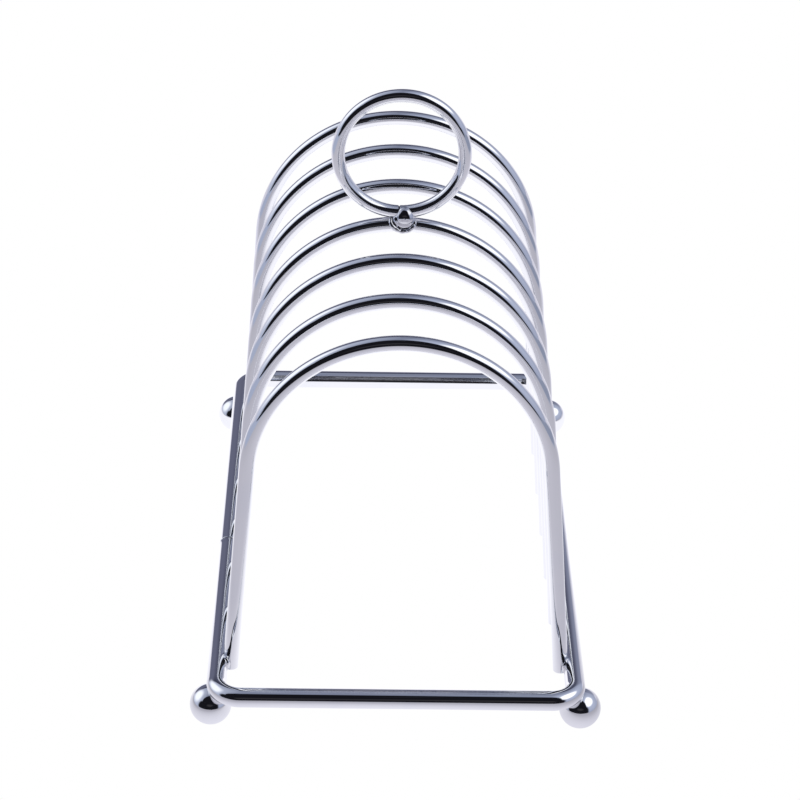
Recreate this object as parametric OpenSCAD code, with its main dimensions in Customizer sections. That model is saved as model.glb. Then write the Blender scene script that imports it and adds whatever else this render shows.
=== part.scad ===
// Wire toast rack with seven arches, ball feet and a ring handle.
// Bright-plated round wire, resistance-welded. Millimetres, +Z up.
// Origin: on the table, below the crown of the middle arch.
// -Y is the front, +X is the right-hand side seen from the front.

/* [Base frame] */
// Diameter of the wire of the base frame
base_wire_d = 5.0; // [4.4:0.1:5.6]
// Half of the frame's length, measured to the wire's centre line
base_half_len = 83.2; // [82:0.1:90]
// Half of the frame's width at the front, to the wire's centre line
base_half_w_front = 45; // [44:0.05:46.5]
// Half of the frame's width at the rear, to the wire's centre line
base_half_w_rear = 43.75; // [43:0.05:46.5]
// Bend radius of the four corners, to the wire's centre line
corner_r = 6.25; // [5:0.25:8]
// Height of the frame's centre line above the table
base_z = 12.5; // [12.3:0.05:12.6]
// Depth of the fine groove left where wire ends are butt-welded
seam_depth = 0.14; // [0.08:0.01:0.25]

/* [Arches] */
// Diameter of the wire of the arches
arch_wire_d = 3.9; // [3.4:0.1:4.2]
// Distance from one arch to the next
arch_pitch = 22.2; // [20:0.1:23]
// Radius of the arch's curve, to the wire's centre line
arch_r = 37.5; // [36:0.1:38.5]
// Height of the centre of the arch's curve
arch_centre_z = 66.3; // [55:0.1:80]
// How far a leg sinks into the rail when it is welded
leg_set_down = 1.3; // [0.9:0.05:1.4]
// Height of a leg's cut end above the table
leg_end_z = 10.8; // [10.4:0.1:11.2]
// Width of the small chamfer on a leg's cut end
leg_chamfer = 0.25; // [0.1:0.05:0.4]
// How much lower the middle arch stands, under the handle
middle_arch_drop = 0.35; // [0:0.05:0.6]

/* [Handle] */
// Diameter of the wire of the ring
ring_wire_d = 3.4; // [3:0.1:3.9]
// Radius of the ring, to the wire's centre line
ring_r = 16.2; // [14:0.1:20]
// How far the ring sinks into the middle arch when it is welded
ring_set_in = 0.15; // [0.1:0.05:0.3]
// Diameter of the bead in front of the joint
bead_d = 6.6; // [6:0.1:6.8]
// How far the bead's centre stands in front of the ring's plane
bead_forward = 0.5; // [0.3:0.1:1]
// How far the bead's centre stands to the right of the middle
bead_right = 0.8; // [0:0.1:1]

/* [Feet] */
// Diameter of a ball foot
foot_d = 10.5; // [10.3:0.1:10.7]
// Diameter of the small flat on which a foot rests
foot_flat_d = 2.2; // [1.6:0.1:2.6]
// Distance of the balls from the middle of the frame, front to rear
foot_y = 75.2; // [72:0.1:75.4]
// How far a ball's centre stands outside the rail's centre line
foot_out = 1.6; // [1.2:0.1:2]

/* [Hidden] */
$fn = 96;

chrome = [0.78, 0.80, 0.84];

base_wire_r = base_wire_d / 2;
arch_wire_r = arch_wire_d / 2;
ring_wire_r = ring_wire_d / 2;
bead_r = bead_d / 2;
foot_r = foot_d / 2;

// The frame narrows towards the rear by this angle on each side, with its cosine
// rounded to six places so that the bends and the straights meet exactly
raw_taper = atan2(base_half_w_front - base_half_w_rear, 2 * base_half_len);
taper = acos(round(1e6 * cos(raw_taper)) / 1e6);

// Right-hand rail's centre line at y
function rail_x(y) = base_half_w_front - (y + base_half_len) * tan(taper);

// Centre of a right-hand corner bend, at y
function corner_centre(y) = [rail_x(y) - corner_r / cos(taper), y];
corner_front = corner_centre(-base_half_len + corner_r);
corner_rear = corner_centre(base_half_len - corner_r);

// Length of a rail between its bends
rail_len = norm(corner_rear - corner_front);

// Butt weld in the left rail: its distance in front of the rail's middle, the distance
// from it to the front bend, the gap on each side of it, its length, and how far its
// surface lies below the bottom of the groove
weld_forward = 10.5;
weld_to_bend = rail_len / 2 - weld_forward;
weld_gap = 0.04;
weld_len = 1.6;
weld_inset = 0.05;

// Arches are numbered 1 to 7 from the front
middle_arch = 4;
function arch_y(number) = (number - middle_arch) * arch_pitch;
function arch_zc(number) = arch_centre_z - (number == middle_arch ? middle_arch_drop : 0);
// Leg's centre line at the height of the rail
function leg_x(number) = rail_x(arch_y(number)) - (base_wire_r + arch_wire_r - leg_set_down);
// Angle by which the legs lean outwards, tangent to the arch's curve
function lean(number) =
    let (x = leg_x(number), height = arch_zc(number) - base_z)
    acos(arch_r / sqrt(x * x + height * height)) - atan2(height, x);

// Top of the middle arch's wire, and the centre of the ring that sits on it
crown_z = arch_zc(middle_arch) + arch_r + arch_wire_r;
ring_z = crown_z - ring_set_in + ring_wire_r + ring_r;
// Place of the groove at the bottom of the ring, and how far its cutter stands clear
ring_seam_x = -0.4;
seam_clear = 0.2;

// The bead's centre, a little below the crown, and the plane of its flat back
bead_below_crown = 0.2;
bead_pos = [bead_right, -bead_forward, crown_z - bead_below_crown];
bead_back_y = -0.6;

// A foot's centre stands this high on its flat
foot_z = sqrt(foot_r * foot_r - foot_flat_d * foot_flat_d / 4);

module both_sides() {
    children();
    mirror([1, 0, 0]) children();
}

// The wire of the base is walked round anticlockwise. Each step starts at the centre
// of a bend, with +Y the way ahead, and ends at the centre of the next bend.
module straight(length) {
    translate([corner_r, 0, 0]) rotate([-90, 0, 0]) cylinder(h = length, r = base_wire_r);
}
module turn(angle) {
    reach = 2 * corner_r + base_wire_d;
    difference() {
        rotate([0, 0, 270]) rotate_extrude() translate([corner_r, 0]) circle(r = base_wire_r);
        translate([-reach, -reach, -reach / 2]) cube([2 * reach, reach, reach]);
        rotate([0, 0, angle]) translate([-reach, 0, -reach / 2]) cube([2 * reach, reach, reach]);
    }
}
module step(angle, length) {
    turn(angle);
    rotate([0, 0, angle]) {
        straight(length);
        translate([0, length, 0]) children();
    }
}

// The chamfered end of the wire, at the butt weld
module wire_end() {
    translate([corner_r, 0, 0]) rotate([-90, 0, 0])
        cylinder(h = seam_depth, r1 = base_wire_r - seam_depth, r2 = base_wire_r);
}

// The weld itself, between the two ends
module butt_weld() {
    translate([corner_r, -weld_len / 2, 0]) rotate([-90, 0, 0])
        cylinder(h = weld_len, r = base_wire_r - seam_depth - weld_inset);
}

// The closed wire of the base, from the weld forwards and round to the weld again
module base_frame() {
    end_len = weld_gap + seam_depth;
    color(chrome)
        translate([-corner_front[0] + weld_to_bend * sin(taper),
                   corner_front[1] + weld_to_bend * cos(taper), base_z])
            rotate([0, 0, 180 - taper]) {
                butt_weld();
                translate([0, weld_gap, 0]) wire_end();
                translate([0, end_len, 0]) straight(weld_to_bend - end_len);
                translate([0, weld_to_bend, 0])
                    step(90 + taper, 2 * corner_front[0])
                        step(90 + taper, rail_len)
                            step(90 - taper, 2 * corner_rear[0])
                                step(90 - taper, rail_len - weld_to_bend - end_len)
                                    translate([2 * corner_r, seam_depth, 0])
                                        rotate([0, 0, 180]) wire_end();
            }
}

// The right-hand rail on its own, a little longer than its straight, for cutting welds
module rail() {
    overrun = 2;
    translate([rail_x(0), 0, base_z]) rotate([0, 0, taper]) rotate([90, 0, 0])
        cylinder(h = rail_len + 2 * overrun, r = base_wire_r, center = true);
}

// Puts what is drawn from the centre of an arch's curve, with Y upwards, in its place
module place(number) {
    translate([0, arch_y(number), arch_zc(number)]) rotate([90, 0, 0]) children();
}

// Full circle of arch wire
module curve() {
    rotate_extrude() translate([arch_r, 0]) circle(r = arch_wire_r);
}

// Everything below the end of the curve on the right-hand side
module below(number) {
    reach = 60;
    depth = 10;
    rotate([0, 0, lean(number)])
        translate([-reach, -reach, -depth / 2]) cube([2 * reach, reach, depth]);
}

// Right-hand leg, from the end of the curve to its chamfered cut end
module leg(number) {
    angle = lean(number);
    length = (arch_zc(number) + arch_r * sin(angle) - leg_end_z) / cos(angle);
    rotate([0, 0, angle]) translate([arch_r, 0, 0]) rotate([90, 0, 0]) {
        cylinder(h = length - leg_chamfer, r = arch_wire_r);
        translate([0, 0, length - leg_chamfer])
            cylinder(h = leg_chamfer, r1 = arch_wire_r, r2 = arch_wire_r - leg_chamfer);
    }
}

// An arch, with its legs sunk into the rails
module arch(number) {
    color(chrome) difference() {
        place(number) {
            difference() {
                rotate([0, 0, lean(number)]) curve();
                both_sides() below(number);
            }
            both_sides() leg(number);
        }
        both_sides() rail();
    }
}
module arch_1() { arch(1); }
module arch_2() { arch(2); }
module arch_3() { arch(3); }
module arch_4() { arch(4); }
module arch_5() { arch(5); }
module arch_6() { arch(6); }
module arch_7() { arch(7); }

module ring_wire() {
    translate([0, 0, ring_z])
        rotate([90, 0, 0])
            rotate_extrude() translate([ring_r, 0]) circle(r = ring_wire_r);
}

// Cutter for the fine V groove round the ring's wire, which lies along X at its bottom
module ring_seam() {
    side = seam_clear + seam_depth;
    edge_r = ring_wire_r + seam_clear;
    translate([ring_seam_x, 0, ring_z - ring_r])
        rotate([0, 90, 0])
            rotate_extrude()
                polygon([[ring_wire_r - seam_depth, 0], [edge_r, -side], [edge_r, side]]);
}

// The ring stands upright on the middle arch
module handle_ring() {
    color(chrome) difference() {
        ring_wire();
        place(middle_arch) curve();
        ring_seam();
    }
}

// The bead is a ball welded over the front of the joint of ring and arch
module handle_bead() {
    reach = 10;
    color(chrome) difference() {
        translate(bead_pos) sphere(r = bead_r);
        ring_wire();
        place(middle_arch) curve();
        translate([-reach, bead_back_y, bead_pos[2] - reach])
            cube([2 * reach, 2 * reach, 2 * reach]);
    }
}

// A ball foot on the right-hand rail at y, cut flat at the table
module foot(y) {
    reach = 20;
    color(chrome) difference() {
        translate([rail_x(y) + foot_out, y, foot_z]) sphere(r = foot_r);
        rail();
        translate([rail_x(y) - reach, y - reach, -reach]) cube([2 * reach, 2 * reach, reach]);
    }
}
module foot_front_right() { foot(-foot_y); }
module foot_rear_right() { foot(foot_y); }
module foot_front_left() { mirror([1, 0, 0]) foot(-foot_y); }
module foot_rear_left() { mirror([1, 0, 0]) foot(foot_y); }

base_frame();
arch_1();
arch_2();
arch_3();
arch_4();
arch_5();
arch_6();
arch_7();
handle_ring();
handle_bead();
foot_front_left();
foot_front_right();
foot_rear_left();
foot_rear_right();
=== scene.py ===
"""A chromed wire rack: a rectangular base wire on four ball feet, seven arches standing across it,
and a ring handle welded on the crown of the middle arch.

The arches stand in x-z planes, spaced along y. Front is -y, right is +x, and the floor is z = 0.
Sizes are in millimetres; MM turns them into Blender's metres. Floor and camera are in metres.
"""
import math

import bmesh
import bpy
import numpy as np
from mathutils import Matrix, Vector


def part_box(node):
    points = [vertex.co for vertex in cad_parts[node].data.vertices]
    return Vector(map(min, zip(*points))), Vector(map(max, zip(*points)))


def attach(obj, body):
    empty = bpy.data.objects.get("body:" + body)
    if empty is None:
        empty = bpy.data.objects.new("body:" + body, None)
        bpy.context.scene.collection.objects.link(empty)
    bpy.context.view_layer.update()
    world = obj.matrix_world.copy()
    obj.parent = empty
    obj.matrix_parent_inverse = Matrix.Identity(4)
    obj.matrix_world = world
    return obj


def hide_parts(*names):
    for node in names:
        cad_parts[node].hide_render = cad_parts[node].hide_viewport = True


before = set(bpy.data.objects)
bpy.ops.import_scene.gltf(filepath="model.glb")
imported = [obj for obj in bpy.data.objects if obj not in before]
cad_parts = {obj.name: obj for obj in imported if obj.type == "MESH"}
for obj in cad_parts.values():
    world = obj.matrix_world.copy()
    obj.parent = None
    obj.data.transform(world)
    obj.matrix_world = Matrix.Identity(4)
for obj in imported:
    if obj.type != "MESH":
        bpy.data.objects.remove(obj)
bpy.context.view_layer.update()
MM = 0.001

# ---------------------------------------------------------------------------
# Places and sizes, driven by the boxes of the CAD nodes
# ---------------------------------------------------------------------------


def cad(node_name):
    """The low and high corners of a CAD node's box, in millimetres."""
    lo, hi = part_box(node_name)
    return np.array(lo) / MM, np.array(hi) / MM


# Base: a closed wire, slightly narrower at the rear
lo, hi = cad("base_frame")
BASE_R = (hi[2] - lo[2]) / 2            # wire radius
BASE_Z = (hi[2] + lo[2]) / 2
BASE_HALF = hi[1] - BASE_R              # half length, to the centre line
HALF_FRONT = 45.0                       # half width at the front, to the centre line
TAPER = math.acos(0.999972)             # slant of each long rail
CORNER_R = 6.25
BASE_SEAM_Y = -10.5                     # butt weld, on the left rail

# Arches, numbered from 1 to 7
ARCHES = range(1, 8)
BEND_R = 37.5
arch_boxes = {i: cad(f"arch_{i}") for i in ARCHES}
ARCH_R = (arch_boxes[1][1][1] - arch_boxes[1][0][1]) / 2
ARCH_Y = {i: (hi[1] + lo[1]) / 2 for i, (lo, hi) in arch_boxes.items()}
ARCH_ZC = {i: hi[2] - ARCH_R - BEND_R for i, (lo, hi) in arch_boxes.items()}  # bend centres
SET_DOWN = 1.3                          # how far a leg sinks into its rail
LEG_INSET = BASE_R + ARCH_R - SET_DOWN  # from the rail's centre line to the leg's
LEG_END = 10.8                          # height of the legs' cut ends
LEG_CHAMFER = 0.25

# Handle ring
lo, hi = cad("handle_ring")
RING_R = (hi[1] - lo[1]) / 2            # wire radius
RING_BIG = (hi[0] - lo[0]) / 2 - RING_R
RING_Z = hi[2] - RING_R - RING_BIG
RING_SEAM_X = -0.4                      # butt weld, at the foot of the ring

# Butt welds: distances from the seam of the closest sections, and the groove's reach
SEAM_STEPS = [0.0, 0.05, 0.10, 0.15, 0.20, 0.27, 0.36, 0.5]
GROOVE_REACH = 0.27
GROOVE_PLATE = 0.19                     # half width of the band with poor plate

# Weld bead where ring and middle arch meet. Its own axes run across (+x), up and out.
lo, hi = cad("handle_bead")
BEAD_Z = (hi[2] + lo[2]) / 2
JOINT = Vector((0.0, 0.0, 105.0))
TILT_SIN, TILT_COS = 0.482, 0.876       # "up" leans to the rear, "out" faces front and upwards
DROP = (1.10, 0.74, 0.85)               # centre of the smooth drop: across, up, out
BEAD_BACK_Y = -0.6                      # the bead is cut flat behind this plane

FEET = ("foot_front_left", "foot_front_right", "foot_rear_left", "foot_rear_right")
FOOT_FLAT = 1.1                         # radius of the flat a foot stands on


def rail_x(y):
    """Distance from the middle plane to a long rail's centre line."""
    return HALF_FRONT - (y + BASE_HALF) * math.tan(TAPER)


# ---------------------------------------------------------------------------
# Mesh helpers
# ---------------------------------------------------------------------------


def loose(name, bm):
    """An object that belongs to no CAD node."""
    mesh = bpy.data.meshes.new(name)
    bm.normal_update()
    bm.to_mesh(mesh)
    bm.free()
    ob = bpy.data.objects.new(name, mesh)
    bpy.context.scene.collection.objects.link(ob)
    return ob


def smooth_all(mesh):
    mesh.polygons.foreach_set("use_smooth", [True] * len(mesh.polygons))


def new_object(name, bm, replaced=None):
    ob = loose(name, bm)
    smooth_all(ob.data)
    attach(ob, "root")
    if replaced:
        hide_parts(replaced)
    return ob


def face_outward(bm):
    bmesh.ops.recalc_face_normals(bm, faces=bm.faces)


def cap(bm, ring, centre, scales, flip):
    """A flat end of concentric rings, so that it has no long thin faces."""
    centre = Vector(centre) * MM
    count = len(ring)
    last = ring
    for scale in scales:
        inner = [bm.verts.new(centre + (v.co - centre) * scale) for v in ring]
        for k in range(count):
            m = (k + 1) % count
            a, b, c, d = last[k], last[m], inner[m], inner[k]
            bm.faces.new((a, b, c, d) if flip else (a, d, c, b))
        last = inner
    middle = bm.verts.new(centre)
    for k in range(count):
        a, b = last[k], last[(k + 1) % count]
        bm.faces.new((a, b, middle) if flip else (a, middle, b))


def sweep(centres, normals, binormal, radii, segments, loop_lengths=None, cap_scales=(0.5,)):
    """A round wire with a UV map in metres, u along it and v round it.

    loop_lengths makes it a closed loop: the distance along at each section, then the full
    length. Without it the wire is open and both ends are capped.
    """
    bm = bmesh.new()
    uv = bm.loops.layers.uv.new("UVMap")
    closed = loop_lengths is not None
    count = len(centres)
    angles = [2 * math.pi * k / segments for k in range(segments)]
    across = np.array(binormal, float)
    rings = []
    for centre, normal, r in zip(centres, normals, radii):
        c, out = np.array(centre, float), np.array(normal, float)
        rings.append([bm.verts.new((c + r * (math.cos(t) * out + math.sin(t) * across)) * MM)
                      for t in angles])
    lengths = loop_lengths
    if not closed:
        lengths = [0.0]
        for i in range(1, count):
            step = np.array(centres[i]) - np.array(centres[i - 1])
            lengths.append(lengths[-1] + float(np.linalg.norm(step)))
    uv_r = float(np.median(radii))
    for i in range(count if closed else count - 1):
        j = (i + 1) % count
        u0, u1 = lengths[i], lengths[i + 1]
        for k in range(segments):
            m = (k + 1) % segments
            face = bm.faces.new((rings[i][k], rings[i][m], rings[j][m], rings[j][k]))
            v0 = 2 * math.pi * uv_r * k / segments
            v1 = 2 * math.pi * uv_r * (k + 1) / segments
            for loop, (u, v) in zip(face.loops, ((u0, v0), (u0, v1), (u1, v1), (u1, v0))):
                loop[uv].uv = (u * MM, v * MM)
    if not closed:
        cap(bm, rings[0], centres[0], cap_scales, True)
        cap(bm, rings[-1], centres[-1], cap_scales, False)
    face_outward(bm)
    return bm


def sharpen(ob, angle=40):
    """Smooth shading apart from edges sharper than angle, in degrees."""
    bm = bmesh.new()
    bm.from_mesh(ob.data)
    for e in bm.edges:
        e.smooth = not (len(e.link_faces) == 2 and e.calc_face_angle(0) > math.radians(angle))
    bm.to_mesh(ob.data)
    bm.free()
    smooth_all(ob.data)


def boolean(ob, operation, tools):
    """Applies an exact boolean with each tool, then removes the tools."""
    for tool in tools:
        mod = ob.modifiers.new("boolean", "BOOLEAN")
        mod.operation = operation
        mod.solver = "EXACT"
        mod.object = tool
        graph = bpy.context.evaluated_depsgraph_get()
        mesh = bpy.data.meshes.new_from_object(ob.evaluated_get(graph))
        ob.modifiers.clear()
        old = ob.data
        ob.data = mesh
        bpy.data.meshes.remove(old)
    for tool in tools:
        bpy.data.objects.remove(tool)


def groove(distance, depth):
    """How far a butt weld's groove goes in at a distance from the seam."""
    return depth * max(0.0, 1 - distance / GROOVE_REACH) ** 1.2


# ---------------------------------------------------------------------------
# Base frame
# ---------------------------------------------------------------------------


def straight(p, q, fine_start=False, fine_end=False):
    """Points (x, y, outward angle) from p up to q, closer together by the butt weld."""
    fine = SEAM_STEPS + [0.7, 1.0, 1.4, 2.0]
    clear = 2.6                                  # coarse steps keep this far from the seam
    length = math.dist(p, q)
    out_angle = math.atan2(q[1] - p[1], q[0] - p[0]) - math.pi / 2
    count = max(2, round(length / 3.5))
    steps = [length * k / count for k in range(count)]
    if fine_start:
        steps = fine + [s for s in steps if s > clear]
    if fine_end:
        steps = [s for s in steps if s < length - clear] + [length - s for s in reversed(fine[1:])]
    return [(p[0] + (q[0] - p[0]) * f, p[1] + (q[1] - p[1]) * f, out_angle)
            for f in (s / length for s in steps)]


def base_path():
    """Centre line as (x, y, outward angle), anticlockwise from the butt weld."""
    bend_steps = 30
    slant = CORNER_R / math.cos(TAPER)
    front_x = HALF_FRONT - CORNER_R * math.tan(TAPER) - slant
    rear_x = HALF_FRONT - (2 * BASE_HALF - CORNER_R) * math.tan(TAPER) - slant
    front_y, rear_y = -BASE_HALF + CORNER_R, BASE_HALF - CORNER_R
    # bend centre x, y, then first and last angle
    corners = [(-front_x, front_y, math.pi - TAPER, 1.5 * math.pi),
               (front_x, front_y, -math.pi / 2, TAPER),
               (rear_x, rear_y, TAPER, math.pi / 2),
               (-rear_x, rear_y, math.pi / 2, math.pi - TAPER)]

    def on_bend(corner, angle):
        return (corner[0] + CORNER_R * math.cos(angle), corner[1] + CORNER_R * math.sin(angle))

    seam = (-rail_x(BASE_SEAM_Y), BASE_SEAM_Y)
    points = straight(seam, on_bend(corners[0], corners[0][2]), fine_start=True)
    for k, corner in enumerate(corners):
        first, last = corner[2:]
        for step in range(bend_steps):
            a = first + (last - first) * step / bend_steps
            points.append((*on_bend(corner, a), a))
        if k < 3:
            following = corners[k + 1]
            points += straight(on_bend(corner, last), on_bend(following, following[2]))
    return points + straight(on_bend(corners[3], corners[3][3]), seam, fine_end=True)


def base_wire():
    path = base_path()
    centres = [(x, y, BASE_Z) for x, y, _ in path]
    along = [0.0]
    for i in range(1, len(path)):
        along.append(along[-1] + math.dist(centres[i], centres[i - 1]))
    total = along[-1] + math.dist(centres[0], centres[-1])
    radii = []
    for i, s in enumerate(along):
        if s < 4.0:                              # the wire's two ends do not meet quite true
            x, y, z = centres[i]
            centres[i] = (x - 0.16 * math.exp(-(s / 0.9) ** 2), y, z)
        radii.append(BASE_R - groove(min(s, total - s), depth=0.24))
    normals = [(math.cos(a), math.sin(a), 0) for _, _, a in path]
    bm = sweep(centres, normals, (0, 0, 1), radii, segments=72, loop_lengths=along + [total])
    return new_object("base_frame_wire", bm, "base_frame")


def rail_cutter(side):
    """A long rail as a plain closed cylinder; side is 1 for right, -1 for left."""
    overrun, steps = 2, 40
    y0, y1 = -BASE_HALF + CORNER_R - overrun, BASE_HALF - CORNER_R + overrun
    stations = [y0 + (y1 - y0) * k / steps for k in range(steps + 1)]
    centres = [(side * rail_x(y), y, BASE_Z) for y in stations]
    normals = [(math.cos(TAPER), side * math.sin(TAPER), 0)] * len(centres)
    bm = sweep(centres, normals, (0, 0, 1), [BASE_R] * len(centres), segments=128)
    return loose("cutter", bm)


# ---------------------------------------------------------------------------
# Arches
# ---------------------------------------------------------------------------


def lean(i):
    """Angle of an arch's legs from the vertical; they spread downwards."""
    x = rail_x(ARCH_Y[i]) - LEG_INSET
    h = ARCH_ZC[i] - BASE_Z
    return math.acos(BEND_R / math.hypot(x, h)) - math.atan2(h, x)


def leg_radius(t):
    """Wire radius at distance t from a cut end, whose edge is rounded."""
    if t >= LEG_CHAMFER:
        return ARCH_R
    return ARCH_R - LEG_CHAMFER + math.sqrt(LEG_CHAMFER ** 2 - (LEG_CHAMFER - t) ** 2)


def arch_wire(i):
    s, y, zc = lean(i), ARCH_Y[i], ARCH_ZC[i]
    bend_steps = 96
    bend_x, bend_z = BEND_R * math.cos(s), zc + BEND_R * math.sin(s)   # where the bend begins
    length = (bend_z - LEG_END) / math.cos(s)
    # distances up the leg from its cut end: chamfer, joint, then the long run
    marks = [0.0, 0.06, 0.13, 0.19, LEG_CHAMFER] + [LEG_CHAMFER + 0.35 * k for k in range(1, 17)]
    low = marks[-1]
    steps = round((length - low) / 2.6)
    marks += [low + (length - low) * k / steps for k in range(1, steps)]
    right = [((bend_x + (length - t) * math.sin(s), y, bend_z - (length - t) * math.cos(s)),
              leg_radius(t)) for t in marks]
    angles = [s + (math.pi - 2 * s) * k / bend_steps for k in range(bend_steps + 1)]
    curve = [((BEND_R * math.cos(a), y, zc + BEND_R * math.sin(a)), ARCH_R) for a in angles]
    left = [((-c[0], c[1], c[2]), r) for c, r in reversed(right)]
    stations = right + curve + left
    points = [np.array(p) for p, _ in stations]
    normals = []
    for p in points:
        if p[2] >= bend_z - 1e-6:
            v = np.array([p[0], 0, p[2] - zc])
        else:
            v = np.array([math.copysign(math.cos(s), p[0]), 0, math.sin(s)])
        normals.append(v / np.linalg.norm(v))
    bm = sweep(points, normals, (0, 1, 0), [r for _, r in stations], segments=60,
               cap_scales=(0.66, 0.33))
    ob = new_object(f"arch_{i}_wire", bm, f"arch_{i}")
    boolean(ob, "DIFFERENCE", [rail_cutter(1), rail_cutter(-1)])
    sharpen(ob)
    return ob


# ---------------------------------------------------------------------------
# Handle ring
# ---------------------------------------------------------------------------


def arc(angles, radius, centre_z):
    """Centres and outward normals of an arc about the y axis direction, in the plane y = 0."""
    normals = [np.array([math.cos(a), 0, math.sin(a)]) for a in angles]
    return [u * radius + np.array([0, 0, centre_z]) for u in normals], normals


def arc_cutter(start, span, radius, centre_z, wire_r):
    """A closed piece of bent wire; start and span are in degrees."""
    steps = 60
    angles = [math.radians(start + span * k / steps) for k in range(steps + 1)]
    centres, normals = arc(angles, radius, centre_z)
    bm = sweep(centres, normals, (0, 1, 0), [wire_r] * len(centres), segments=96)
    return loose("cutter", bm)


def crown_cutter():
    """The top of the middle arch."""
    return arc_cutter(70, 40, BEND_R, ARCH_ZC[4], ARCH_R)


def ring_cutter():
    """The foot of the ring."""
    return arc_cutter(-130, 80, RING_BIG, RING_Z, RING_R)


def ring_wire():
    steps = 176
    total = 2 * math.pi * RING_BIG
    seam = RING_SEAM_X / RING_BIG - math.pi / 2
    fine = SEAM_STEPS + [0.8]
    along = sorted({round(s, 4) for s in fine}
                   | {round(total - s, 4) for s in fine[1:]}
                   | {round(total * k / steps, 4) for k in range(2, steps - 1)})
    centres, normals = arc([seam + s / RING_BIG for s in along], RING_BIG, RING_Z)
    radii = [RING_R - groove(min(s, total - s), depth=0.34) for s in along]
    bm = sweep(centres, normals, (0, 1, 0), radii, segments=60, loop_lengths=along + [total])
    ob = new_object("handle_ring_wire", bm, "handle_ring")
    boolean(ob, "DIFFERENCE", [crown_cutter()])
    sharpen(ob)
    return ob


# ---------------------------------------------------------------------------
# Ball feet
# ---------------------------------------------------------------------------


def ball(centre, radius, cuts):
    """A ball of even quads, from a cube whose faces are drawn out to the sphere."""
    centre = Vector(centre)
    bm = bmesh.new()
    bmesh.ops.create_cube(bm, size=2.0)
    bmesh.ops.subdivide_edges(bm, edges=bm.edges[:], cuts=cuts, use_grid_fill=True)
    uv = bm.loops.layers.uv.new("UVMap")
    for v in bm.verts:
        # equal-angle spacing, so that the quads are near the same size all over
        p = Vector([math.tan(c * math.pi / 4) for c in v.co])
        v.co = (centre + p.normalized() * radius) * MM
    for face in bm.faces:
        for loop in face.loops:
            p = loop.vert.co / MM - centre
            latitude = math.asin(max(-1, min(1, p.z / radius)))
            loop[uv].uv = ((math.atan2(p.y, p.x) * radius) * MM, (latitude * radius) * MM)
    return bm


def foot(name):
    lo, hi = cad(name)
    r = (hi[1] - lo[1]) / 2
    x, y = (lo[0] + hi[0]) / 2, (lo[1] + hi[1]) / 2
    side = 1 if x > 0 else -1
    bm = ball((x, y, math.sqrt(r * r - FOOT_FLAT ** 2)), r, cuts=30)
    for v in bm.verts:
        if v.co.z < 0.0:
            v.co.z = 0.0
    # bed the ball into the rail
    for v in bm.verts:
        p = v.co / MM
        axis_x = Vector((side * rail_x(p.y), 0, BASE_Z)).x
        away = Vector((p.x - axis_x, 0, p.z - BASE_Z))
        if away.length < BASE_R:
            away = away.normalized() * BASE_R
            v.co = Vector((axis_x + away.x, p.y, BASE_Z + away.z)) * MM
    face_outward(bm)
    ob = new_object(name + "_ball", bm, name)
    sharpen(ob, 25)
    return ob


# ---------------------------------------------------------------------------
# Weld metal
# ---------------------------------------------------------------------------


def wander(a, b, c):
    """A smooth, repeatable wander between -1 and 1."""
    broad = math.sin(1.7 * a + 2.1 * b + 0.6) * math.sin(2.3 * b - 1.3 * c + 1.1)
    return (broad + 0.6 * math.sin(3.9 * a - 2.7 * c + 0.3) * math.sin(4.3 * c + 1.9 * b)) / 1.6


def smooth_curve(path, radii, steps=10):
    """Catmull-Rom points through path, with radii eased between those given."""
    points = [Vector(p) for p in path]
    count = len(points)
    fine, fine_radii = [], []
    for i in range(count - 1):
        p0, p1 = points[max(0, i - 1)], points[i]
        p2, p3 = points[i + 1], points[min(count - 1, i + 2)]
        for k in range(steps):
            u = k / steps
            fine.append(0.5 * ((2 * p1) + (p2 - p0) * u
                               + (2 * p0 - 5 * p1 + 4 * p2 - p3) * u * u
                               + (3 * p1 - p0 - 3 * p2 + p3) * u ** 3))
            w = u * u * (3 - 2 * u)
            fine_radii.append(radii[i] * (1 - w) + radii[i + 1] * w)
    return fine + [points[-1]], fine_radii + [radii[-1]]


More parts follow.
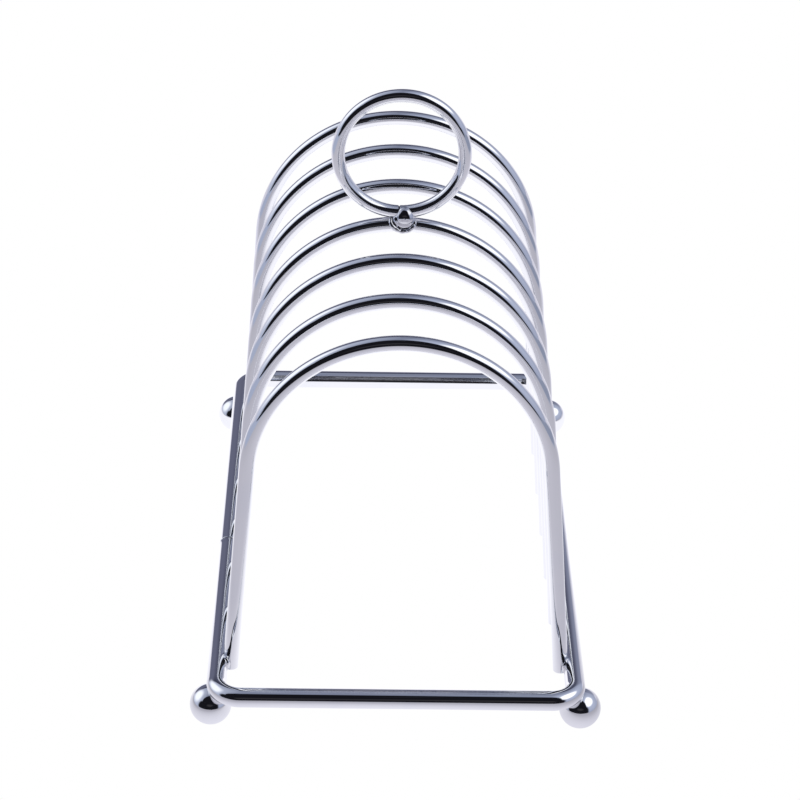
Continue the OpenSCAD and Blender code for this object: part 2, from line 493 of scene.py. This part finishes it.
def thread(path, radii, seed):
    """A closed lumpy thread of metal along a path, rounded at both ends."""
    segments, unevenness = 28, 0.16
    end_angles = (0.12, 0.4, 0.75, 1.15)         # sections of the round ends, from the tip
    points, radii = smooth_curve(path, radii)
    t0 = (points[1] - points[0]).normalized()
    t1 = (points[-1] - points[-2]).normalized()
    r0, r1 = radii[0], radii[-1]
    points = ([points[0] - t0 * r0 * math.cos(a) for a in end_angles] + points
              + [points[-1] + t1 * r1 * math.cos(a) for a in reversed(end_angles)])
    radii = ([r0 * math.sin(a) for a in end_angles] + radii
             + [r1 * math.sin(a) for a in reversed(end_angles)])
    bm = bmesh.new()
    uv = bm.loops.layers.uv.new("UVMap")
    up = Vector((0.3, 0.5, 0.81))
    last = len(points) - 1
    rings = []
    for i, (p, r) in enumerate(zip(points, radii)):
        t = (points[min(last, i + 1)] - points[max(0, i - 1)]).normalized()
        a = (up - t * up.dot(t)).normalized()
        b = t.cross(a)
        ring = []
        for k in range(segments):
            angle = 2 * math.pi * k / segments
            d = a * math.cos(angle) + b * math.sin(angle)
            q = p + d * r
            swell = 1 + unevenness * wander(q.x * 1.9 + seed, q.y * 1.9 - seed, q.z * 1.9)
            ring.append(bm.verts.new((p + d * r * swell) * MM))
        rings.append(ring)
    for near, far in zip(rings, rings[1:]):
        for k in range(segments):
            j = (k + 1) % segments
            bm.faces.new((near[k], near[j], far[j], far[k]))
    for ring in (rings[0], rings[-1]):
        middle = bm.verts.new(sum((v.co for v in ring), Vector()) / segments)
        for k in range(segments):
            bm.faces.new((ring[k], ring[(k + 1) % segments], middle))
    for face in bm.faces:
        for loop in face.loops:
            c = loop.vert.co
            loop[uv].uv = (c.x + c.y, c.z)
    face_outward(bm)
    return bm


def crevice(i, side, front):
    """Points along the corner between a leg and its rail, from the top of the joint down."""
    s, y0 = lean(i), ARCH_Y[i]
    rail = rail_x(y0)
    points = []
    for degrees in (66, 52, 34, 12, -12, -30, -41):     # round the rail's inner side
        a = math.radians(degrees)
        x = rail - BASE_R * math.cos(a)
        z = BASE_Z + BASE_R * math.sin(a)
        dx = x - (rail - LEG_INSET - (z - BASE_Z) * math.tan(s))
        if dx > ARCH_R * 0.995:
            continue
        dy = math.sqrt(max(0.0, ARCH_R ** 2 - dx ** 2))
        points.append((side * x, y0 + (-dy if front else dy), z))
    return points


def thread_radius(q, seed):
    """Radius of a squeezed-out thread at q, from 0 at its top to 1 at its foot."""
    return (0.30 + 0.26 * math.sin(math.pi * min(1.0, 0.15 + q * 0.95)) ** 2
            + 0.09 * math.sin(seed * 2.3 + 4.1 * q))


def welds(i):
    """The four threads of metal squeezed out between an arch's legs and the rails."""
    joined = bmesh.new()
    joined.loops.layers.uv.new("UVMap")
    mesh = bpy.data.meshes.new("tmp")
    for side in (-1, 1):
        for front in (True, False):
            path = crevice(i, side, front)
            n = len(path)
            seed = 3.7 * i + 1.9 * side + (0.8 if front else 2.6)
            middle = [thread_radius(k / (n - 1), seed) for k in range(1, n - 1)]
            bm = thread(path, [0.27, *middle, 0.42], seed)
            bm.to_mesh(mesh)
            bm.free()
            joined.from_mesh(mesh)
    bpy.data.meshes.remove(mesh)
    return new_object(f"arch_{i}_welds", joined)


def lump(centre, radii, power, taper, hang, rough, cuts):
    """A rounded lump of weld metal; centre and radii run across, up and out.

    It narrows upwards by taper, and its face looks down by the slope hang.
    """
    bm = ball((0, 0, 0), 1.0, cuts)
    axes = (Vector((1, 0, 0)), Vector((0, TILT_SIN, TILT_COS)), Vector((0, -TILT_COS, TILT_SIN)))
    middle = JOINT + sum((a * c for a, c in zip(axes, centre)), Vector())
    for v in bm.verts:
        p = v.co / MM
        q = Vector((p.x, p.z, -p.y))
        q *= (abs(q.x) ** power + abs(q.y) ** power + abs(q.z) ** power) ** (-1 / power)
        q.x *= 1.0 - taper * q.y
        # ripples round the drop
        far = math.hypot(q.x * radii[0] + centre[0] - DROP[0],
                         q.y * radii[1] + centre[1] - DROP[1])
        uneven = wander(2.6 * q.x * radii[0] + 0.7, 1.7 * q.y * radii[1], 1.1)
        k = 1.0 + rough * (math.sin(5.0 * far - 0.6) + 0.7 * uneven)
        tilt = axes[2] * (hang * q.y * radii[1])
        v.co = (middle + k * sum((a * (c * r) for a, c, r in zip(axes, q, radii)), tilt)) * MM
    face_outward(bm)
    return bm


# The bead's rim: across, up and out from the joint, then radius
RIM = [
    (-2.50, -0.25, 1.3, 0.45), (-2.42, -1.3, 1.4, 0.58), (-1.62, -2.5, 1.3, 0.66),
    (-0.38, -3.15, 1.1, 0.58), (1.0, -3.35, 1.0, 0.62), (2.4, -2.95, 1.1, 0.56),
    (3.35, -2.0, 1.3, 0.62), (3.72, -0.95, 1.3, 0.45),
]


def back_cutter():
    """A box that takes away all of the bead behind its back plane."""
    size = 20
    bm = bmesh.new()
    bmesh.ops.create_cube(bm, size=1.0)
    for v in bm.verts:
        x, y, z = v.co
        v.co = Vector((x * size, y * size + BEAD_BACK_Y + size / 2, z * size + BEAD_Z)) * MM
    return loose("cutter", bm)


def bead():
    """Weld metal over the joint: a smooth drop on a wider, rougher collar with a rolled rim."""
    collar = lump((0.72, -1.00, 0.35), (3.30, 2.85, 2.20),
                  power=2.1, taper=0.14, hang=0.46, rough=0.018, cuts=44)
    ob = new_object("handle_bead_ball", collar, "handle_bead")
    drop = loose("drop", lump(DROP, (2.52, 2.55, 2.45),
                              power=2.3, taper=0.18, hang=0.0, rough=0.0, cuts=34))
    path = [tuple(JOINT + Vector((across, TILT_SIN * up - TILT_COS * out,
                                  TILT_COS * up + TILT_SIN * out)))
            for across, up, out, _ in RIM]
    rim = loose("rim", thread(path, [r for *_, r in RIM], seed=2.2))
    boolean(ob, "UNION", [drop, rim])
    boolean(ob, "DIFFERENCE", [ring_cutter(), crown_cutter(), back_cutter()])
    sharpen(ob, 30)
    return ob


# ---------------------------------------------------------------------------
# A short way to write node arithmetic
# ---------------------------------------------------------------------------


class Sock:
    """A node socket (or a number) with arithmetic that makes Math nodes."""

    def __init__(self, tree, value):
        self.tree = tree
        self.value = value

    def math(self, op, *others):
        n = node(self.tree, "ShaderNodeMath", dict(enumerate((self, *others))), operation=op)
        return Sock(self.tree, n.outputs[0])

    def __add__(self, o): return self.math("ADD", o)
    def __radd__(self, o): return self.math("ADD", o)
    def __sub__(self, o): return self.math("SUBTRACT", o)
    def __rsub__(self, o): return Sock(self.tree, float(o)).math("SUBTRACT", self)
    def __mul__(self, o): return self.math("MULTIPLY", o)
    def __rmul__(self, o): return self.math("MULTIPLY", o)
    def __truediv__(self, o): return self.math("DIVIDE", o)
    def __pow__(self, o): return self.math("POWER", o)
    def abs(self): return self.math("ABSOLUTE")
    def max(self, o): return self.math("MAXIMUM", o)
    def min(self, o): return self.math("MINIMUM", o)

    def ramp(self, zero_at, one_at):
        """Goes smoothly from 0 to 1 as the value goes from zero_at to one_at."""
        flip = zero_at > one_at
        n = node(self.tree, "ShaderNodeMapRange", {
            "Value": self,
            "From Min": min(zero_at, one_at), "From Max": max(zero_at, one_at),
            "To Min": float(flip), "To Max": float(not flip),
        }, interpolation_type="SMOOTHSTEP", clamp=True)
        return Sock(self.tree, n.outputs["Result"])


def link(tree, value, socket):
    """Links or sets a socket from a Sock, an output socket or a plain value."""
    v = value.value if isinstance(value, Sock) else value
    if hasattr(v, "is_output"):
        tree.links.new(v, socket)
    else:
        socket.default_value = v


def node(tree, kind, inputs=None, **props):
    n = tree.nodes.new(kind)
    for k, v in props.items():
        setattr(n, k, v)
    for k, v in (inputs or {}).items():
        link(tree, v, n.inputs[k])
    return n


def noise(tree, vector, scale, detail, rough):
    n = node(tree, "ShaderNodeTexNoise",
             {"Scale": scale, "Detail": detail, "Roughness": rough, "Vector": vector})
    return Sock(tree, n.outputs[0])


def split(tree, vector):
    n = node(tree, "ShaderNodeSeparateXYZ", {0: vector})
    return [Sock(tree, o) for o in n.outputs]


def mix_rgb(tree, factor, a, b):
    n = node(tree, "ShaderNodeMix", data_type="RGBA", blend_type="MIX", clamp_factor=True)
    link(tree, factor, n.inputs[0])
    for k, c in ((6, a), (7, b)):
        link(tree, (*c, 1.0) if isinstance(c, tuple) else c, n.inputs[k])
    return Sock(tree, n.outputs[2])


def white_to_camera(tree, colour):
    """White where the camera looks straight at it, and colour in reflections."""
    path = node(tree, "ShaderNodeLightPath")
    return mix_rgb(tree, path.outputs["Is Camera Ray"], colour, (1.0, 1.0, 1.0))


def empty_tree(owner):
    owner.use_nodes = True
    owner.node_tree.nodes.clear()
    return owner.node_tree


def mirrored(r, g, b):
    """The light that shows as this 8-bit sRGB colour in a mirror of the wire's reflectance."""
    reflectance = 0.80

    def one(c):
        c /= 255
        return (c / 12.92 if c <= 0.04045 else ((c + 0.055) / 1.055) ** 2.4) / reflectance
    return (one(r), one(g), one(b))


# ---------------------------------------------------------------------------
# Chrome
# ---------------------------------------------------------------------------


def chrome(name, streak=0.0, pit=0.0, tone=(0.80, 0.805, 0.825)):
    """Bright plate over drawn wire: fine lines along it (streak), a slow waviness,
    small pits (pit) and a light bloom. Needs a UV map, u along the wire and v round it."""
    m = bpy.data.materials.new(name)
    t = empty_tree(m)
    out = node(t, "ShaderNodeOutputMaterial")
    bsdf = node(t, "ShaderNodeBsdfPrincipled")
    t.links.new(bsdf.outputs[0], out.inputs["Surface"])
    uv = node(t, "ShaderNodeUVMap", uv_map="UVMap")
    place = node(t, "ShaderNodeNewGeometry").outputs["Position"]
    along = node(t, "ShaderNodeMapping", {"Vector": uv.outputs[0], "Scale": (9, 4200, 1)})
    lines = noise(t, along.outputs[0], scale=1.0, detail=1.0, rough=0.5)
    slow = noise(t, place, scale=260.0, detail=2.0, rough=0.5)
    fine = noise(t, place, scale=5200.0, detail=3.0, rough=0.6)
    bloom = noise(t, place, scale=70.0, detail=4.0, rough=0.6)
    # colour: a little cooler and duller where the bloom lies
    patch = bloom.ramp(0.42, 0.68)
    dulling = (0.955, 0.962, 0.985)
    dull = tuple(c * k for c, k in zip(tone, dulling))
    link(t, mix_rgb(t, patch * 0.7, tone, dull), bsdf.inputs["Base Color"])
    bsdf.inputs["Metallic"].default_value = 1.0
    # roughness: clean plate, then what bloom, lines and fine grain each add
    clean, blur = 0.035, 0.03
    rough = (clean + blur * patch + lines.ramp(0.45, 0.75) * blur * streak
             + fine.ramp(0.6, 0.8) * blur)
    link(t, rough, bsdf.inputs["Roughness"])
    # relief: weights of lines, slow waviness and fine grain
    line_height, slow_height, fine_height = 0.16, 0.5, 0.03
    height = lines * line_height * streak + slow * slow_height + fine * fine_height
    if pit:
        spots = noise(t, place, scale=1500.0, detail=2.0, rough=0.6)
        height = height + spots.ramp(0.55, 0.72) * pit
    bump = node(t, "ShaderNodeBump", {"Strength": 1.0, "Distance": 0.0000022, "Height": height})
    t.links.new(bump.outputs[0], bsdf.inputs["Normal"])
    return m


def poor_plate(ob, in_groove):
    """Gives the faces in a butt weld's groove the dark plate."""
    ob.data.materials.append(MATERIALS["groove"])
    for p in ob.data.polygons:
        if in_groove(*(p.center / MM)):
            p.material_index = 1


# ---------------------------------------------------------------------------
# Surroundings, floor and camera
# ---------------------------------------------------------------------------


def sky():
    """A studio by azimuth (0 in front, positive to the right) and elevation, in degrees."""
    w = bpy.data.worlds.new("studio")
    bpy.context.scene.world = w
    t = empty_tree(w)
    out = node(t, "ShaderNodeOutputWorld")
    direction = node(t, "ShaderNodeTexCoord").outputs["Generated"]
    x, y, z = split(t, direction)
    deg = 180 / math.pi
    azimuth = x.math("ARCTAN2", -1.0 * y) * deg
    elevation = z.max(-1.0).min(1.0).math("ARCSINE") * deg
    broad = noise(t, direction, scale=3.0, detail=3.0, rough=0.6)
    small = noise(t, direction, scale=14.0, detail=3.0, rough=0.6)

    def blob(az, el, wide, tall, soft, power, ragged=0.0):
        """1 inside a rounded patch with these half sizes, fading over its edge."""
        u = ((azimuth - az) / wide).abs() ** power
        v = ((elevation - el) / tall).abs() ** power
        d = (u + v) ** (1 / power)
        if ragged:
            d = d + (broad - 0.5) * ragged + (small - 0.5) * ragged * 0.5
        return d.ramp(1 + soft, 1 - soft)

    def cone(az, el, radius, soft):
        """1 inside a ragged disc of this angular radius."""
        a, e = math.radians(az), math.radians(el)
        d = (x * (math.sin(a) * math.cos(e)) + y * (-math.cos(a) * math.cos(e))
             + z * math.sin(e))
        angle = d.max(-1.0).min(1.0).math("ARCCOSINE") * deg
        angle = angle + (broad - 0.5) * 9.0 + (small - 0.5) * 5.0
        return angle.ramp(radius + soft, radius - soft)

    # walls and ceiling
    col = mix_rgb(t, elevation.ramp(-6, 60), mirrored(150, 156, 178), mirrored(122, 128, 148))
    # glow on the walls around the left and right softboxes
    glow = blob(az=-112, el=24, wide=62, tall=52, soft=0.60, power=2.0)
    col = mix_rgb(t, glow * 0.75, col, mirrored(188, 195, 214))
    glow = blob(az=78, el=44, wide=62, tall=40, soft=0.55, power=2.0)
    col = mix_rgb(t, glow * 0.8, col, mirrored(182, 190, 212))
    # the pale sheet curves up at the rear; off is the azimuth from straight behind
    off = (azimuth + 360.0).math("MODULO", 360.0) - 180.0
    rear = off.abs().ramp(62, 40)
    col = mix_rgb(t, rear * elevation.ramp(12, 3), col, mirrored(214, 213, 227))
    # a dark wall above the sheet, lower and weaker towards its sides
    half_width, half_height, mid_height, droop = 39.0, 22.0, 28.0, 0.30
    u = ((off - off.ramp(-1, 0) * 5.0 - 1.0) / half_width).abs() ** 3.0
    v = ((elevation - mid_height + off.abs() * droop) / half_height).abs() ** 3.0
    dark = ((u + v) ** (1 / 3)).ramp(1.20, 0.92)
    dark = dark * (off.ramp(-32, -6) * 0.55 + 0.45)
    wall = mix_rgb(t, elevation.ramp(25, 42), mirrored(97, 99, 119), mirrored(52, 54, 70))
    col = mix_rgb(t, dark, col, wall)
    # softboxes, left and right
    box = blob(az=-108, el=30, wide=27, tall=23, soft=0.42, power=2.2)
    col = mix_rgb(t, box, col, (1.20, 1.24, 1.33))
    box = blob(az=76, el=45, wide=36, tall=20, soft=0.20, power=2.6)
    col = mix_rgb(t, box, col, (1.36, 1.38, 1.42))
    # dark room behind the camera
    black = cone(az=-8, el=35, radius=39.5, soft=2.5).max(
        blob(az=-11, el=15, wide=58, tall=25, soft=0.10, power=3.0, ragged=0.22))
    room = mix_rgb(t, small.ramp(0.60, 0.70) * 0.7, mirrored(20, 20, 25), mirrored(50, 50, 60))
    haze = blob(az=-2, el=22, wide=17, tall=6, soft=0.5, power=2.0)
    room = mix_rgb(t, haze * 0.8, room, mirrored(54, 53, 56))
    col = mix_rgb(t, black, col, room)
    final = white_to_camera(t, col)
    bg = node(t, "ShaderNodeBackground", {"Strength": 1.0, "Color": final})
    t.links.new(bg.outputs[0], out.inputs["Surface"])


def pale_sheet():
    m = bpy.data.materials.new("pale_sheet")
    t = empty_tree(m)
    out = node(t, "ShaderNodeOutputMaterial")
    geo = node(t, "ShaderNodeNewGeometry")
    _, _, steep = split(t, geo.outputs["Incoming"])
    x, y, _ = split(t, geo.outputs["Position"])
    # painted light: brighter seen from straight above and towards the rear, and brightest in a
    # painted pool of light under the rack
    grain = noise(t, geo.outputs["Position"], scale=9.0, detail=3.0, rough=0.6)
    level = (0.475 + 0.32 * steep) * (0.96 + grain * 0.08)
    # painted pool of light under the rack: its offsets and half sizes
    light_pool_left, light_pool_rear, light_pool_wide, light_pool_long = 0.012, 0.10, 0.105, 0.16
    patch = (((x + light_pool_left) / light_pool_wide) ** 2.0 + ((y - light_pool_rear) / light_pool_long) ** 2.0)
    patch = patch.math("SQRT").ramp(1.45, 0.82)
    # painted light: brighter towards the rear, then lifted towards 1.16 in the painted pool of
    # light
    level = level + y.ramp(-0.02, 0.16) * 0.30
    level = level + patch * (1.16 - level)
    # it ends in front, where the dark room begins
    side = x.math("ARCTAN2", -1.0 * y) * (180 / math.pi)
    ahead = (side + 9.0).abs().ramp(64, 50)
    lit = 1.0 - (y + (grain - 0.5) * 0.12).ramp(-0.46, -0.60) * ahead
    # a cool tint, more neutral in the painted pool of light
    pale = node(t, "ShaderNodeCombineColor")
    link(t, level * (0.965 + 0.025 * patch), pale.inputs["Red"])
    link(t, level * (0.950 + 0.035 * patch), pale.inputs["Green"])
    link(t, level * (1.075 - 0.035 * patch), pale.inputs["Blue"])
    # beyond its two side edges lies the walls' dim reflection
    edge = x + (grain - 0.5) * 0.05
    left, right = (-1.0 * edge).ramp(0.26, 0.36), edge.ramp(0.29, 0.40)
    wall = mix_rgb(t, right, mirrored(162, 170, 192), mirrored(136, 143, 163))
    beyond = left.max(right) * (1.0 - y.ramp(0.10, 0.30))
    col = mix_rgb(t, lit, mirrored(22, 22, 27), mix_rgb(t, beyond, pale.outputs[0], wall))
    final = white_to_camera(t, col)
    em = node(t, "ShaderNodeEmission", {"Strength": 1.0, "Color": final})
    t.links.new(em.outputs[0], out.inputs["Surface"])
    return m


def floor():
    bm = bmesh.new()
    bmesh.ops.create_grid(bm, x_segments=8, y_segments=8, size=2.4)
    mesh = bpy.data.meshes.new("floor")
    bm.to_mesh(mesh)
    bm.free()
    ob = bpy.data.objects.new("floor", mesh)
    bpy.context.scene.collection.objects.link(ob)
    ob.location = (0, 0, -0.00002)               # just clear of the feet
    mesh.materials.append(pale_sheet())


def camera():
    data = bpy.data.cameras.new("camera")
    data.sensor_fit = "HORIZONTAL"
    data.sensor_width = 36.0
    data.lens = 146.2
    data.clip_start = 0.05
    data.clip_end = 20.0
    ob = bpy.data.objects.new("camera", data)
    place = Vector((-0.012306, -0.755497, 0.467129))
    right = Vector((0.99980711, -0.00743743, 0.01817743))
    up = Vector((-0.01234264, 0.48199197, 0.87608869))
    turn = Matrix((right, up, right.cross(up))).transposed()
    ob.matrix_world = Matrix.Translation(place) @ turn.to_4x4()
    bpy.context.scene.collection.objects.link(ob)
    bpy.context.scene.camera = ob


# ---------------------------------------------------------------------------
# Build
# ---------------------------------------------------------------------------

base = base_wire()
pieces = [(base, "base_wire")]
pieces += [(arch_wire(i), "arch_wire") for i in ARCHES]
ring = ring_wire()
pieces += [(ring, "ring_wire")]
pieces += [(foot(name), "ball") for name in FEET]
pieces += [(welds(i), "weld") for i in ARCHES]
pieces += [(bead(), "bead")]

MATERIALS = {
    "base_wire": chrome("chrome_base_wire", streak=1.0),
    "arch_wire": chrome("chrome_arch_wire", streak=0.9),
    "ring_wire": chrome("chrome_ring_wire", streak=1.1),
    "ball": chrome("chrome_ball", pit=0.4),
    "weld": chrome("chrome_weld", pit=3.0, tone=(0.74, 0.745, 0.77)),
    "groove": chrome("chrome_groove", pit=2.0, tone=(0.20, 0.20, 0.23)),
    "bead": chrome("chrome_bead", pit=4.0, tone=(0.64, 0.645, 0.68)),
}
for ob, finish in pieces:
    ob.data.materials.clear()
    ob.data.materials.append(MATERIALS[finish])
poor_plate(base, lambda x, y, z: x < 0 and abs(y - BASE_SEAM_Y) < GROOVE_PLATE)
poor_plate(ring, lambda x, y, z: z < RING_Z and abs(x - RING_SEAM_X) < GROOVE_PLATE)

sky()
floor()
camera()
scene = bpy.context.scene
scene.view_settings.view_transform = "Standard"
scene.view_settings.look = "None"
scene.render.film_transparent = False
